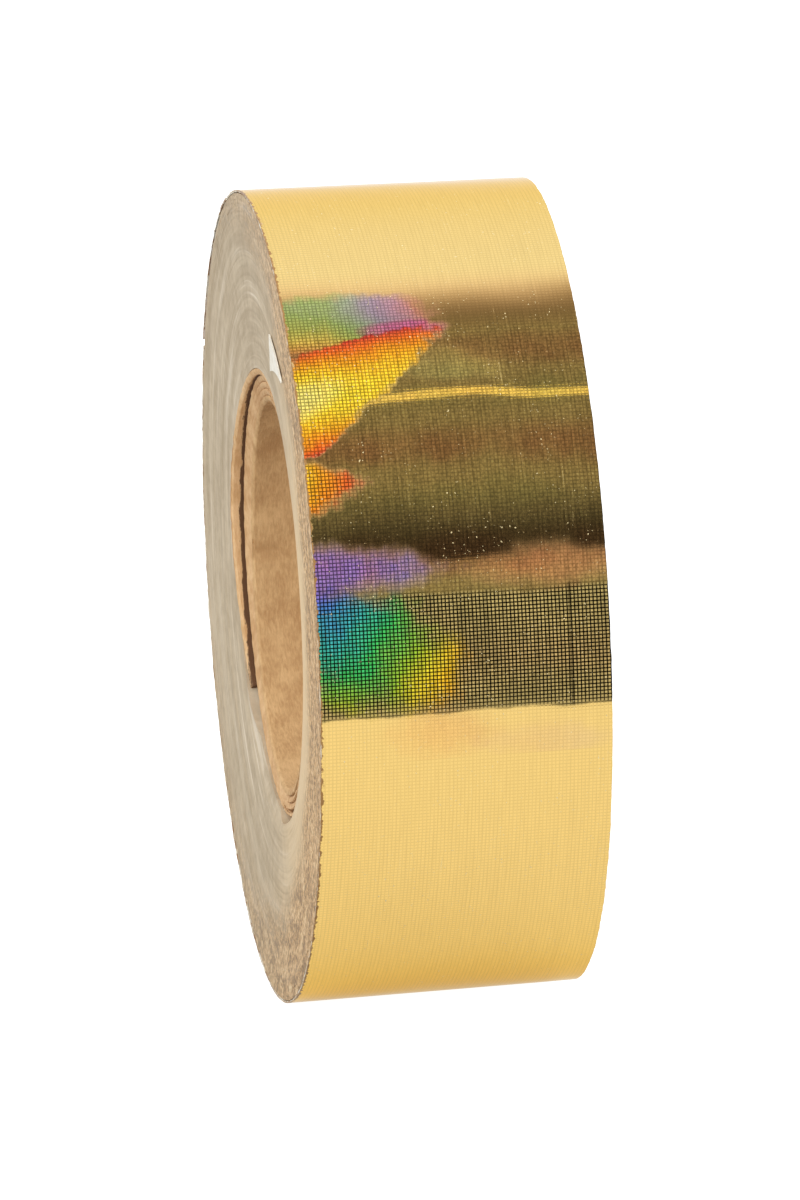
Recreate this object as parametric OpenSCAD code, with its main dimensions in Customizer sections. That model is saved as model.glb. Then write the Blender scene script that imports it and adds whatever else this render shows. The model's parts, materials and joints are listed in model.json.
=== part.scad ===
// Narrow roll of metallised sign film, wound on a paperboard core.
// The roll's axis runs along Y. The origin is the middle of the core's bore, and +Z is up.
// The -Y end is the dished one: every turn sits a little further in than the one around it.
// Lengths are in millimetres and angles in degrees. An angle about the axis is counted from +X
// towards +Z.

/* [Strip] */
// Width of the strip, which is also the length of the core
strip_w = 19; // [12:0.5:50]
// Thickness of the face film
film_t = 0.05; // [0.03:0.005:0.1]
// Thickness of the adhesive coat under the film
adhesive_t = 0.026; // [0.02:0.002:0.04]
// Thickness of the paper release liner under the adhesive
liner_t = 0.06; // [0.04:0.005:0.1]

/* [Roll] */
// Outside diameter of the roll at its dished end
roll_d = 53.3; // [44:0.1:90]
// How much smaller the roll is across at its other end
roll_taper = 0.6; // [0:0.05:1]
// How far the film steps in from the rim to the core at the dished end
dish = 0.64; // [0.2:0.02:1.5]
// Number of steps that the turns make across the dish
dish_steps = 8; // [4:1:10]

/* [Core] */
// Bore of the core, a nominal one inch
core_bore_d = 25.4; // [20:0.1:40]
// Thickness of one ply of the core's paperboard
ply_t = 0.46; // [0.3:0.02:0.6]
// How far the innermost ply steps in from the outermost one at the dished end
core_dish = 0.46; // [0.1:0.02:0.8]
// Width of the gap at the butt seam of each ply
ply_seam = 0.25; // [0.1:0.05:0.5]
// Angle at which the outermost ply ends
outer_ply_end = 232; // [180:1:260]
// Arc between the two ends of the outermost ply, where the film lies on the ply inside it
outer_ply_open = 60; // [10:1:90]
// Greatest width of the gap where the outermost ply has come away
ply_gap = 0.26; // [0.1:0.02:0.4]

/* [Loose ends] */
// Angle at which the outermost turn leaves the roll as its free lead end
lead_root = 125; // [100:1:150]
// Arc that the lead end covers when it lies on the roll
lead_arc = 40; // [20:1:60]
// How far the lead end stands open at rest
lead_rest = 1.2; // [0.5:0.1:3]
// Angle at which the white leader at the start of the strip begins on the end face
leader_from = 72; // [0:1:120]
// Arc that the white leader covers
leader_arc = 15; // [10:1:60]
// Radial width of the white leader
leader_w = 3.6; // [1:0.1:4]

/* [Part] */
// Which sub-part to draw

/* [Hidden] */
$fn = 120;

plies = 5;
bore_r = core_bore_d / 2;
core_r = bore_r + plies * ply_t;
strip_t = film_t + adhesive_t + liner_t;
rim_r = roll_d / 2;
far_r = rim_r - roll_taper / 2;
core_y = strip_w / 2;
inner_turn_y = -core_y - core_dish;
rim_y = inner_turn_y - dish;
// Clearances of the pieces that move
lead_gap = 0.05;
peel_gap = 0.02;
// How far the first turns stand proud of the core where they have sunk in beside its outermost ply
sunk_step = 0.12;
sunk_bite = 0.02;
sunk_clear = 1;
seam_arc = 0.4;
hinge_r = rim_r + lead_gap + peel_gap;
leader_gap = 0;
leader_t = 0.08;

kraft = [0.72, 0.57, 0.40];
kraft_dark = [0.64, 0.49, 0.33];
paper_white = [0.94, 0.92, 0.87];
paper_edge = [0.71, 0.65, 0.56];
glue_clear = [0.80, 0.74, 0.58];
gold = [0.80, 0.64, 0.33];

// A profile of radius and Y turned about the roll's axis, from one angle to another
module turned(from, to) {
    rotate([-90, 0, 0])
        rotate_extrude(angle = to - from, start = -to)
            children();
}

// A profile turned all the way round the roll's axis
module turned_full() {
    rotate([-90, 0, 0])
        rotate_extrude()
            children();
}

// Ply number n of the core, 1 being the innermost, with its butt seam at the angle seam_at
module ply(n, seam_at) {
    inner = bore_r + (n - 1) * ply_t;
    shift = -core_dish * (n - 1) / (plies - 1);
    seam_deg = ply_seam / inner * 180 / PI;
    turned(seam_at + seam_deg, seam_at + 360)
        translate([inner, shift - core_y])
            square([ply_t, strip_w]);
}

// Profile of one layer of the outermost turn, between two depths below the rim
module layer_profile(top, bottom) {
    polygon([[rim_r - bottom, rim_y],
             [rim_r - top, rim_y],
             [far_r - top, rim_y + strip_w],
             [far_r - bottom, rim_y + strip_w]]);
}

// One layer of the outermost turn, all the way round except under the lead end
module turn_layer(top, bottom) {
    turned(lead_root + lead_arc - 360 + seam_arc, lead_root - seam_arc)
        layer_profile(top, bottom);
}

// One layer of the lead end, opened about the hinge line where it leaves the roll
module lead_layer(top, bottom) {
    hinge = [hinge_r * cos(lead_root), 0, hinge_r * sin(lead_root)];
    translate(hinge)
        rotate([0, lead_rest, 0])
            translate(-hinge)
                turned(lead_root, lead_root + lead_arc)
                    layer_profile(top, bottom);
}

// Corners of the dished end of the wound strip, out from the core, at one end of the roll
function step_corners(outer, start_y) = [
    for (i = [0 : dish_steps - 1], side = [0, 1])
        [core_r + (outer - core_r) * (i + side) / dish_steps,
         start_y - dish * i / (dish_steps - 1)]
];

function backwards(list) = [for (i = [len(list) - 1 : -1 : 0]) list[i]];

module core_ply_1() {
    color(kraft)
        ply(1, 96);
}

module core_ply_2() {
    color(kraft_dark)
        ply(2, 318);
}

module core_ply_3() {
    color(kraft)
        ply(3, 24);
}

module core_ply_4() {
    color(kraft_dark)
        ply(4, 280);
}

// The outermost ply stops short of its own start, and has come away from the one inside it
module core_ply_5() {
    inner = core_r - ply_t;
    color(kraft)
        difference() {
            turned(outer_ply_end + outer_ply_open - 360, outer_ply_end)
                translate([inner, -core_dish - core_y])
                    square([ply_t, strip_w]);
            translate([-ply_gap, 0, 0])
                rotate([90, 0, 0])
                    cylinder(h = 2 * strip_w, r = inner, center = true);
        }
}

// White paper at the start of the strip, turned out over the end face beside the core
module start_leader() {
    back_y = inner_turn_y - leader_gap - dish * 2 / (dish_steps - 1);
    color(paper_white)
        turned(leader_from, leader_from + leader_arc)
            translate([core_r + 0.3, back_y - leader_t])
                square([leader_w, leader_t]);
}

// The first turns, where they have sunk into the arc that the outermost ply leaves open
module sunk_turns() {
    turned(outer_ply_end + sunk_clear, outer_ply_end + outer_ply_open - sunk_clear)
        translate([core_r - ply_t, -core_y - sunk_step])
            square([ply_t + sunk_bite, strip_w]);
}

// All the turns under the outermost one: film, adhesive and liner wound together
module wound_strip() {
    color(paper_edge) {
        turned_full()
            polygon(concat(
                step_corners(rim_r - strip_t, inner_turn_y),
                backwards(step_corners(far_r - strip_t, inner_turn_y + strip_w))));
        sunk_turns();
    }
}

module outer_liner() {
    color(paper_white)
        turn_layer(film_t + adhesive_t, strip_t);
}

module outer_adhesive() {
    color(glue_clear)
        turn_layer(film_t, film_t + adhesive_t);
}

module outer_film() {
    color(gold)
        turn_layer(0, film_t);
}

module lead_liner() {
    color(paper_white)
        lead_layer(film_t + adhesive_t - lead_gap, strip_t - lead_gap);
}

module lead_adhesive() {
    raised = lead_gap + peel_gap;
    color(glue_clear)
        lead_layer(film_t - raised, film_t + adhesive_t - raised);
}

module lead_film() {
    raised = lead_gap + peel_gap;
    color(gold)
        lead_layer(-raised, film_t - raised);
}

core_ply_1();
core_ply_2();
core_ply_3();
core_ply_4();
core_ply_5();
start_leader();
wound_strip();
outer_liner();
outer_adhesive();
outer_film();
lead_liner();
lead_adhesive();
lead_film();
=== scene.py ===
"""Dresses a narrow roll of holographic sign film, wound on a paperboard core, around its frame."""
import json
import logging
import math
from dataclasses import dataclass
from enum import Enum
from typing import Callable, Iterable, Optional, Union

import bmesh
import bpy
from mathutils import Matrix, Vector, noise


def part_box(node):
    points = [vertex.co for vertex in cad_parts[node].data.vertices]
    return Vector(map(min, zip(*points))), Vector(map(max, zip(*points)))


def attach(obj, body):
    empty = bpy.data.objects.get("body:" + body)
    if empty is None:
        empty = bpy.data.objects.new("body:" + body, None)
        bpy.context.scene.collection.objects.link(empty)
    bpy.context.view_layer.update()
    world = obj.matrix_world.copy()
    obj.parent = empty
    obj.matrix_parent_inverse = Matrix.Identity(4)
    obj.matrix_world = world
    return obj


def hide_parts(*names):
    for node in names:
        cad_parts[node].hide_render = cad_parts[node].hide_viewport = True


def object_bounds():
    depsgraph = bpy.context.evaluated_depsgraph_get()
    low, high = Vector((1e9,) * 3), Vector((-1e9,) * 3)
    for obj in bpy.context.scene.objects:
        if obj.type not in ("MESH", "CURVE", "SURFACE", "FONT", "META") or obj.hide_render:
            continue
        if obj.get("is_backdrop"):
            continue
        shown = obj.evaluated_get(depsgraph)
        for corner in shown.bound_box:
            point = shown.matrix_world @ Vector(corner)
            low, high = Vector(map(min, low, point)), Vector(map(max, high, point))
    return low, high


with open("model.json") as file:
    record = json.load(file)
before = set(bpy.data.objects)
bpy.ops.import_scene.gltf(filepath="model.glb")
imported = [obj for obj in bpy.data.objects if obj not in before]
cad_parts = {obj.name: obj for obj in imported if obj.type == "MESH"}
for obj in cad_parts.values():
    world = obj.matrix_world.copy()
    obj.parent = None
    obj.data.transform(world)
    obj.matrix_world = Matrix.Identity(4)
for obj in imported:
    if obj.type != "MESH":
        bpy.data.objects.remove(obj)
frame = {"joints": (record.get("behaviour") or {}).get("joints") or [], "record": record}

LOG = logging.getLogger("sign_film_roll")
MM = 0.001
WHITE = (1.0, 1.0, 1.0)
PLY_COUNT = 5
TAPER = 0.3 * MM  # how much smaller the roll is at its far end than at its dished end
LEAD_ARC_DEG = 40.0
LEAD_REST_DEG = 1.2
DISH_CURVE = 0.85  # 1 for a straight cone, less for a dish that is steepest at the rim

Socket = bpy.types.NodeSocket
Number = Union[float, Socket]
Colour = tuple[float, float, float]
Profile = list[tuple[float, float]]
Shaper = Callable[[float, float, float], tuple[float, float]]


# ---------------------------------------------------------------- sizes and small helpers


@dataclass(frozen=True)
class RollSizes:
    """Main sizes of the roll in metres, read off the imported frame."""

    bore_r: float
    core_r: float
    ply_t: float
    width: float
    rim_r: float
    rim_y: float
    core_face_y: float
    strip_t: float
    film_t: float
    glue_t: float
    lead_root: float
    lead_arc: float
    hinge: Vector

    @classmethod
    def from_frame(cls) -> "RollSizes":
        """Reads the sizes from the frame's record and node boxes.

        Returns:
            The sizes that every piece is built from.
        """
        bore = frame["record"]["mounts"][0]["dims"]
        bore_r = bore["r_mm"] * MM
        ply_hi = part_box("core_ply_1")[1]
        film_lo, film_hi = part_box("outer_film")
        wound_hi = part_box("wound_strip")[1]
        glue_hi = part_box("outer_adhesive")[1]
        liner_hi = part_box("outer_liner")[1]
        ply_t = ply_hi.x - bore_r
        pivot = Vector(frame["joints"][0]["pos_m"])
        return cls(
            bore_r=bore_r, core_r=bore_r + PLY_COUNT * ply_t, ply_t=ply_t,
            width=bore["length_mm"] * MM, rim_r=film_hi.x,
            rim_y=film_lo.y, core_face_y=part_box("core_ply_5")[0].y,
            strip_t=film_hi.x - wound_hi.x, film_t=film_hi.x - glue_hi.x,
            glue_t=glue_hi.x - liner_hi.x,
            lead_root=math.atan2(pivot.z, pivot.x), lead_arc=math.radians(LEAD_ARC_DEG),
            hinge=pivot)

    def face_y(self, radius: float) -> float:
        """Gives where the dished end lies along the axis at a radius."""
        part = (self.rim_r - radius) / (self.rim_r - self.core_r)
        return self.rim_y + (self.core_face_y - self.rim_y) * part ** DISH_CURVE


def polar(co: Vector) -> tuple[float, float, float]:
    """Gives a point's radius and angle about the roll's axis, and its place along it."""
    return math.hypot(co.x, co.z), math.atan2(co.z, co.x), co.y


def from_polar(radius: float, angle: float, along: float) -> Vector:
    """Turns a radius, an angle about the axis and a place along it into a point."""
    return Vector((radius * math.cos(angle), along, radius * math.sin(angle)))


def smooth_step(low: float, high: float, value: float) -> float:
    """Rises smoothly from 0 to 1 as the value goes from low to high."""
    part = min(1.0, max(0.0, (value - low) / (high - low)))
    return part * part * (3 - 2 * part)


def arc_bump(angle: float, centre: float, half: float) -> float:
    """Is 1 at a centre angle and falls smoothly to 0 at half an arc away, in degrees."""
    away = abs((math.degrees(angle) - centre + 180) % 360 - 180)
    return 0.5 + 0.5 * math.cos(math.pi * min(1.0, away / half))


def wobble(x: float, y: float, z: float) -> float:
    """Gives smooth seeded noise between about -1 and 1."""
    return noise.noise(Vector((x, y, z)))


def film_wave(angle: float, along: float) -> float:
    """Gives how far the outermost turn bulges, in metres, never inwards."""
    east, north = 2.6 * math.cos(angle), 2.6 * math.sin(angle)
    slow = wobble(east, north, along / (9 * MM))
    fine = wobble(2.1 * east, 2.1 * north, 7 + along / (4 * MM))
    return (0.030 + 0.022 * slow + 0.008 * fine) * MM


def spun(profile: Profile, start: float, arc: float, steps: int) -> bmesh.types.BMesh:
    """Turns a closed profile about the roll's axis into a solid.

    Args:
        profile: Corners as radius and place along the axis, in order round the section.
        start: Angle about the axis where the solid begins, in radians.
        arc: Arc that it covers, a full turn or less.
        steps: Number of steps round the arc.

    Returns:
        A mesh whose faces point outwards.
    """
    mesh = bmesh.new()
    ring = [mesh.verts.new(from_polar(r, start, y)) for r, y in profile]
    edges = [mesh.edges.new((a, b)) for a, b in zip(ring, ring[1:] + ring[:1])]
    full = arc > 2 * math.pi - 1e-6
    made = bmesh.ops.spin(
        mesh, geom=ring + edges, cent=(0, 0, 0), axis=(0, -1, 0), angle=arc, steps=steps,
        use_merge=full, use_duplicate=False)
    if not full:
        last = [e for e in made["geom_last"] if isinstance(e, bmesh.types.BMEdge)]
        bmesh.ops.contextual_create(mesh, geom=edges)
        bmesh.ops.contextual_create(mesh, geom=last)
    bmesh.ops.remove_doubles(mesh, verts=mesh.verts, dist=1e-8)
    bmesh.ops.recalc_face_normals(mesh, faces=mesh.faces)
    return mesh


def reshape(mesh: bmesh.types.BMesh, shaper: Shaper) -> None:
    """Moves every vertex by what a shaper gives for its radius, angle and place.

    Args:
        mesh: The mesh to change.
        shaper: Gives the outward and the axial move, in metres.
    """
    for vert in mesh.verts:
        radius, angle, along = polar(vert.co)
        out, shift = shaper(radius, angle, along)
        vert.co = from_polar(radius + out, angle, along + shift)


def finish_piece(
    mesh: bmesh.types.BMesh, name: str, body: str, material: bpy.types.Material,
    replaced: Iterable[str] = (), sharp_deg: float = 35.0,
) -> bpy.types.Object:
    """Makes an object of a mesh, dresses it and ties it to the frame.

    Args:
        mesh: The mesh, which is used up.
        name: Name of the piece.
        body: CAD body that it rides on.
        material: Finish of the piece.
        replaced: CAD nodes that it stands for.
        sharp_deg: Edges sharper than this stay crisp.

    Returns:
        The new object.
    """
    data = bpy.data.meshes.new(name)
    for face in mesh.faces:
        face.smooth = True
    mesh.to_mesh(data)
    mesh.free()
    data.set_sharp_from_angle(angle=math.radians(sharp_deg))
    piece = bpy.data.objects.new(name, data)
    bpy.context.scene.collection.objects.link(piece)
    data.materials.append(material)
    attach(piece, body)
    for node in replaced:
        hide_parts(node)
    LOG.info("%s: %d faces on %s", name, len(data.polygons), body)
    return piece


# ---------------------------------------------------------------- node building


@dataclass(frozen=True)
class Place:
    """Sockets that say where a point lies on the roll.

    Attributes:
        radius: Distance from the axis, in millimetres.
        angle: Angle about the axis, in degrees.
        along: Place along the axis, in millimetres.
        east: Cosine of the angle.
        north: Sine of the angle.
        raw: The point itself, in metres.
    """

    radius: Socket
    angle: Socket
    along: Socket
    east: Socket
    north: Socket
    raw: Socket


@dataclass(frozen=True)
class Grain:
    """A cloudy noise: how many of its clouds fit in a metre, and how fine and rough it goes."""

    per_metre: float
    detail: float
    rough: float


@dataclass(frozen=True)
class Stretch:
    """A stretch of values between the middles of its two soft ends, and how far each end fades."""

    low: float
    high: float
    low_fade: float
    high_fade: float


class Weave:
    """Builds a shader's nodes with short calls."""

    def __init__(self, tree: bpy.types.NodeTree) -> None:
        """Keeps the node tree that the nodes go into."""
        self.tree = tree

    def node(self, kind: str, **settings: object) -> bpy.types.Node:
        """Adds a node and sets its properties.

        Args:
            kind: Type of the node without its ShaderNode prefix.
            **settings: Properties of the node.

        Returns:
            The new node.
        """
        made = self.tree.nodes.new("ShaderNode" + kind)
        for key, value in settings.items():
            setattr(made, key, value)
        return made

    def feed(self, socket: Socket, value: Union[Number, Colour]) -> None:
        """Links a socket to another, or sets its value."""
        if isinstance(value, bpy.types.NodeSocket):
            self.tree.links.new(value, socket)
        elif isinstance(value, tuple) and socket.type == "RGBA":
            socket.default_value = (*value, 1.0)
        else:
            socket.default_value = value

    def math(self, operation: str, *values: Number, clamp: bool = False) -> Socket:
        """Adds a Math node.

        Args:
            operation: Name of the operation.
            *values: Inputs, in order.
            clamp: Whether the result is kept between 0 and 1.

        Returns:
            The result's socket.
        """
        made = self.node("Math", operation=operation, use_clamp=clamp)
        for socket, value in zip(made.inputs, values):
            self.feed(socket, value)
        return made.outputs[0]

    def times(self, first: Number, second: Number) -> Socket:
        """Multiplies two numbers."""
        return self.math("MULTIPLY", first, second)

    def plus(self, first: Number, second: Number) -> Socket:
        """Adds two numbers."""
        return self.math("ADD", first, second)

    def less(self, first: Number, second: Number) -> Socket:
        """Takes the second number from the first."""
        return self.math("SUBTRACT", first, second)

    def over(self, first: Number, second: Number) -> Socket:
        """Divides the first number by the second."""
        return self.math("DIVIDE", first, second)

    def most(self, first: Number, second: Number) -> Socket:
        """Gives the greater of two numbers."""
        return self.math("MAXIMUM", first, second)

    def line(self, value: Number, slope: Number, start: Number, clamp: bool = False) -> Socket:
        """Gives a value times a slope, plus a start."""
        return self.math("MULTIPLY_ADD", value, slope, start, clamp=clamp)

    def blend(self, first: Socket, second: Socket, share: float) -> Socket:
        """Adds a share of the first number to the rest of the second."""
        return self.plus(self.times(first, share), self.times(second, 1 - share))

    def step(self, low: float, high: float, value: Socket) -> Socket:
        """Rises smoothly from 0 to 1 as a value goes from low to high."""
        made = self.node("MapRange", interpolation_type="SMOOTHSTEP")
        self.feed(made.inputs["Value"], value)
        if low < high:
            settings = (low, high, 0.0, 1.0)
        else:
            settings = (high, low, 1.0, 0.0)
        for name, number in zip(("From Min", "From Max", "To Min", "To Max"), settings):
            made.inputs[name].default_value = number
        return made.outputs["Result"]

    def within(self, value: Socket, stretch: Stretch) -> Socket:
        """Is 1 inside a stretch and 0 outside it."""
        low, high = stretch.low_fade / 2, stretch.high_fade / 2
        rise = self.step(stretch.low - low, stretch.low + low, value)
        return self.times(rise, self.step(stretch.high + high, stretch.high - high, value))

    def point(self, x: Number, y: Number, z: Number) -> Socket:
        """Joins three numbers into a vector."""
        made = self.node("CombineXYZ")
        for socket, value in zip(made.inputs, (x, y, z)):
            self.feed(socket, value)
        return made.outputs[0]

    def noise(
        self, vector: Socket, scale: float, detail: float = 2.0, rough: float = 0.5,
    ) -> Socket:
        """Adds a Noise texture and gives its value, from 0 to 1."""
        made = self.node("TexNoise")
        self.feed(made.inputs["Vector"], vector)
        made.inputs["Scale"].default_value = scale
        made.inputs["Detail"].default_value = detail
        made.inputs["Roughness"].default_value = rough
        return made.outputs["Fac"]

    def clouds(self, place: Place, grain: Grain) -> Socket:
        """Adds a cloudy noise that is as coarse in every direction."""
        return self.noise(self.scaled(place.raw, grain.per_metre), 1.0, grain.detail, grain.rough)

    def rings(self, place: Place, across: Number, round_roll: float) -> Socket:
        """Gives a point for noise that runs in rings, from a number that grows across them."""
        return self.point(across, self.times(place.east, round_roll),
                          self.times(place.north, round_roll))

    def mix(
        self, factor: Number, first: Union[Colour, Socket], second: Union[Colour, Socket],
        blend: str = "MIX",
    ) -> Socket:
        """Mixes two colours.

        Args:
            factor: Share of the second.
            first: Colour at 0.
            second: Colour at 1.
            blend: How they mix.

        Returns:
            The mixed colour.
        """
        made = self.node("Mix", data_type="RGBA", blend_type=blend, clamp_factor=True)
        self.feed(made.inputs[0], factor)
        self.feed(made.inputs[6], first)
        self.feed(made.inputs[7], second)
        return made.outputs[2]

    def between(self, factor: Number, first: Number, second: Number) -> Socket:
        """Mixes two numbers by a factor from 0 to 1."""
        made = self.node("Mix", data_type="FLOAT", clamp_factor=True)
        self.feed(made.inputs[0], factor)
        self.feed(made.inputs[2], first)
        self.feed(made.inputs[3], second)
        return made.outputs[0]

    def ramp(self, factor: Socket, colours: tuple[Colour, ...]) -> Socket:
        """Adds a colour ramp.

        Args:
            factor: Place along the ramp, from 0 to 1.
            colours: Its colours, evenly spaced.

        Returns:
            The colour.
        """
        made = self.node("ValToRGB")
        points = made.color_ramp.elements
        points.remove(points[0])
        for number, colour in enumerate(colours):
            place = number / (len(colours) - 1)
            point = points[0] if number == 0 else points.new(place)
            point.position = place
            point.color = (*colour, 1.0)
        self.feed(made.inputs[0], factor)
        return made.outputs["Color"]

    def grey(self, value: Socket) -> Socket:
        """Makes a grey colour of a number."""
        made = self.node("CombineColor")
        for socket in made.inputs[:3]:
            self.feed(socket, value)
        return made.outputs[0]

    def scaled(self, vector: Socket, amount: float) -> Socket:
        """Scales a vector."""
        made = self.node("VectorMath", operation="SCALE")
        self.feed(made.inputs[0], vector)
        made.inputs["Scale"].default_value = amount
        return made.outputs[0]

    def bump(self, height: Socket, distance: float, normal: Optional[Socket] = None) -> Socket:
        """Turns a height from 0 to 1 into a normal, over a distance in metres."""
        made = self.node("Bump")
        made.inputs["Distance"].default_value = distance
        made.inputs["Strength"].default_value = 1.0
        self.feed(made.inputs["Height"], height)
        if normal is not None:
            self.feed(made.inputs["Normal"], normal)
        return made.outputs["Normal"]


def srgb(red: int, green: int, blue: int) -> Colour:
    """Turns a display colour of 0 to 255 into a linear one."""
    def linear(value: int) -> float:
        """Turns one channel into its linear value."""
        part = value / 255
        return part / 12.92 if part <= 0.04045 else ((part + 0.055) / 1.055) ** 2.4
    return linear(red), linear(green), linear(blue)


def place_on_roll(weave: Weave) -> Place:
    """Builds the sockets that say where a point lies on the roll."""
    raw = weave.node("TexCoord").outputs["Object"]
    split = weave.node("SeparateXYZ")
    weave.feed(split.inputs[0], raw)
    x, y, z = split.outputs
    squares = weave.plus(weave.times(x, x), weave.times(z, z))
    radius = weave.times(weave.math("SQRT", squares), 1 / MM)
    turn = weave.math("ARCTAN2", z, x)
    return Place(radius, weave.times(turn, 180 / math.pi), weave.times(y, 1 / MM),
                 weave.math("COSINE", turn), weave.math("SINE", turn), raw)


def new_material(name: str) -> tuple[bpy.types.Material, Weave, bpy.types.Node]:
    """Makes an empty material.

    Args:
        name: Its name.

    Returns:
        The material, the builder of its nodes, and its shader.
    """
    material = bpy.data.materials.new(name)
    material.use_nodes = True
    weave = Weave(material.node_tree)
    shader = material.node_tree.nodes["Principled BSDF"]
    return material, weave, shader


# ---------------------------------------------------------------- finishes


# Each order is a painted reflection: the rainbow that the film's grid throws, painted into its
# colour.
@dataclass(frozen=True)
class Order:
    """One order of the film's rainbow: a ragged patch where the spectrum runs round the roll.

    Attributes:
        angle: Its middle, in degrees round the roll.
        half_arc: Half of the arc that it covers, in degrees.
        across: Its middle across the strip, as a share of the width.
        half_width: Half of its width there.
        lean: How far its middle moves across over half the arc.
        hue: Place in the spectrum at its middle, 0 for red and 1 for magenta.
        run: How far the hue moves over half the arc.
        fold: How far the hue moves towards both ends alike.
        open_lines: How dark the lines of the grid look in it.
        glare: How far its middle goes pale, a painted highlight.
        strength: How strongly it shows.
        spread: How far the hue moves on the way to its outer edge.
        soft: How softly its edge fades.
        fringe: How much of the fringe's colour its outer edge takes.
        square: How square its outline is, 1 for a lozenge and 2 for an ellipse.
        skew: How many degrees its middle climbs over the strip's width.
    """

    angle: float
    half_arc: float
    across: float
    half_width: float
    lean: float
    hue: float
    run: float
    fold: float = 0.0
    open_lines: float = 0.5
    glare: float = 0.0
    strength: float = 1.0
    spread: float = -0.16
    soft: float = 0.36
    fringe: float = 0.12
    square: float = 1.25
    skew: float = 0.0


@dataclass(frozen=True)
class GoldFilm:
    """Metallised gold film, embossed with a fine square grid that throws colours.

    Attributes:
        gold: Colour of the metal.
        khaki: Colour of the cells where they scatter instead of mirroring.
        rosy: Painted tint of the dark reflections, in turn with the leafy one.
        leafy: The other painted tint of the reflections.
        fringe: Colour at the outer edge of a rainbow patch.
        pale: Colour of the painted highlight in the middle of a patch.
        flake: Colour of the scratches and specks.
        dust: Colour of the ragged slit along its edge.
        tatter: Colour of the frayed bits there.
        around: Number of grid cells round the roll.
        even_r: Radius at which the cells are square, in millimetres.
        period: Arc after which the pattern comes again, in degrees.
        patterned: Where in each period the film is embossed most deeply, in degrees.
        tinted: Where it takes a painted tint.
        open_grid: Where its cells scatter instead of mirroring.
        plain: Where round the roll the film stays plain gold.
        tint_arc: Arc after which the two tints come again, in degrees.
        rosy_at: An angle from which the rosy tint rises.
        crease_at: Share of the width at which painted shade of a crease runs round the roll.
        drift: Noise that bends the pattern.
        fray: Noise that frays the patches and the slit.
        fleck: Noise that makes cells differ.
        wear: Noise that says where the film is scratched.
        grit: Noise of the specks.
        speckle: Noise of the ragged slit.
        swell: Noise that makes the mirrored bands wavy.
        spectrum: Colours of the rainbow, evenly spaced from red to magenta.
        orders: The rainbow's patches within one period, painted reflections.
    """

    gold: Colour = srgb(246, 212, 134)
    khaki: Colour = srgb(190, 167, 104)
    rosy: Colour = srgb(226, 140, 100)
    leafy: Colour = srgb(190, 190, 112)
    fringe: Colour = srgb(186, 78, 116)
    pale: Colour = srgb(255, 238, 150)
    flake: Colour = srgb(236, 218, 168)
    dust: Colour = srgb(160, 120, 74)
    tatter: Colour = srgb(208, 176, 122)
    around: int = 676
    even_r: float = 26.5
    period: float = 120.0
    patterned: Stretch = Stretch(8.0, 64.0, 2.0, 6.0)
    tinted: Stretch = Stretch(8.0, 72.0, 2.0, 8.0)
    open_grid: Stretch = Stretch(6.9, 23.6, 0.6, 1.2)
    plain: Stretch = Stretch(-74.0, -3.0, 8.0, 6.0)
    tint_arc: float = 15.0
    rosy_at: float = 40.8
    crease_at: float = 0.866
    drift: Grain = Grain(260.0, 3.0, 0.55)
    fray: Grain = Grain(1300.0, 4.0, 0.65)
    fleck: Grain = Grain(5200.0, 1.0, 0.5)
    wear: Grain = Grain(420.0, 2.0, 0.5)
    grit: Grain = Grain(6200.0, 1.0, 0.5)
    speckle: Grain = Grain(2600.0, 3.0, 0.6)
    swell: Grain = Grain(170.0, 0.0, 0.5)
    # Colours of the painted rainbow reflections.
    spectrum: tuple[Colour, ...] = (
        srgb(206, 60, 46), srgb(244, 112, 36), srgb(252, 170, 34), srgb(255, 220, 52),
        srgb(160, 200, 56), srgb(66, 196, 96), srgb(64, 180, 172), srgb(80, 118, 206),
        srgb(166, 112, 200), srgb(212, 84, 132))
    orders: tuple[Order, ...] = (
        Order(4.0, 6.0, 0.40, 0.24, 0.0, 0.12, 0.0, open_lines=0.1, strength=0.16, soft=1.0),
        Order(1.8, 4.0, 0.78, 0.30, 0.0, 0.97, 0.0, open_lines=0.1, strength=0.08, soft=1.0),
        Order(16.4, 9.9, 0.11, 0.37, -0.15, 0.62, 0.25, open_lines=1.15, spread=-0.29,
              soft=0.8, fringe=0.0, square=2.5),
        Order(26.6, 4.0, 0.80, 0.42, 0.0, 0.03, 0.0, open_lines=0.2, strength=0.42, soft=1.0,
              fringe=0.0),
        Order(27.4, 4.4, 0.0, 0.53, 0.0, 0.87, 0.0, open_lines=0.9, strength=0.88, spread=0.0,
              soft=1.0, fringe=0.0, square=1.6),
        Order(39.8, 4.8, -0.05, 0.27, -0.05, 0.28, 0.12, open_lines=0.7, spread=-0.26),
        Order(57.5, 4.0, 0.50, 0.24, -0.10, 0.50, 0.0, open_lines=0.3, strength=0.18, soft=1.0,
              square=2.0),
        Order(65.0, 6.5, 0.14, 0.42, 0.02, 0.50, 0.28, fold=-0.25, open_lines=0.9, spread=0.60,
              strength=0.52, soft=0.8, fringe=0.3, square=2.5),
        Order(63.6, 1.9, 0.40, 0.17, 0.03, 1.0, 0.0, open_lines=0.6, strength=0.75, spread=0.0,
              soft=0.9, fringe=0.0, square=2.0),
        Order(51.3, 8.6, -0.13, 0.49, 0.25, 0.35, 0.0, fold=-0.32, open_lines=0.5, glare=0.6,
              spread=-0.04, square=4.5, skew=10.0))

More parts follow.
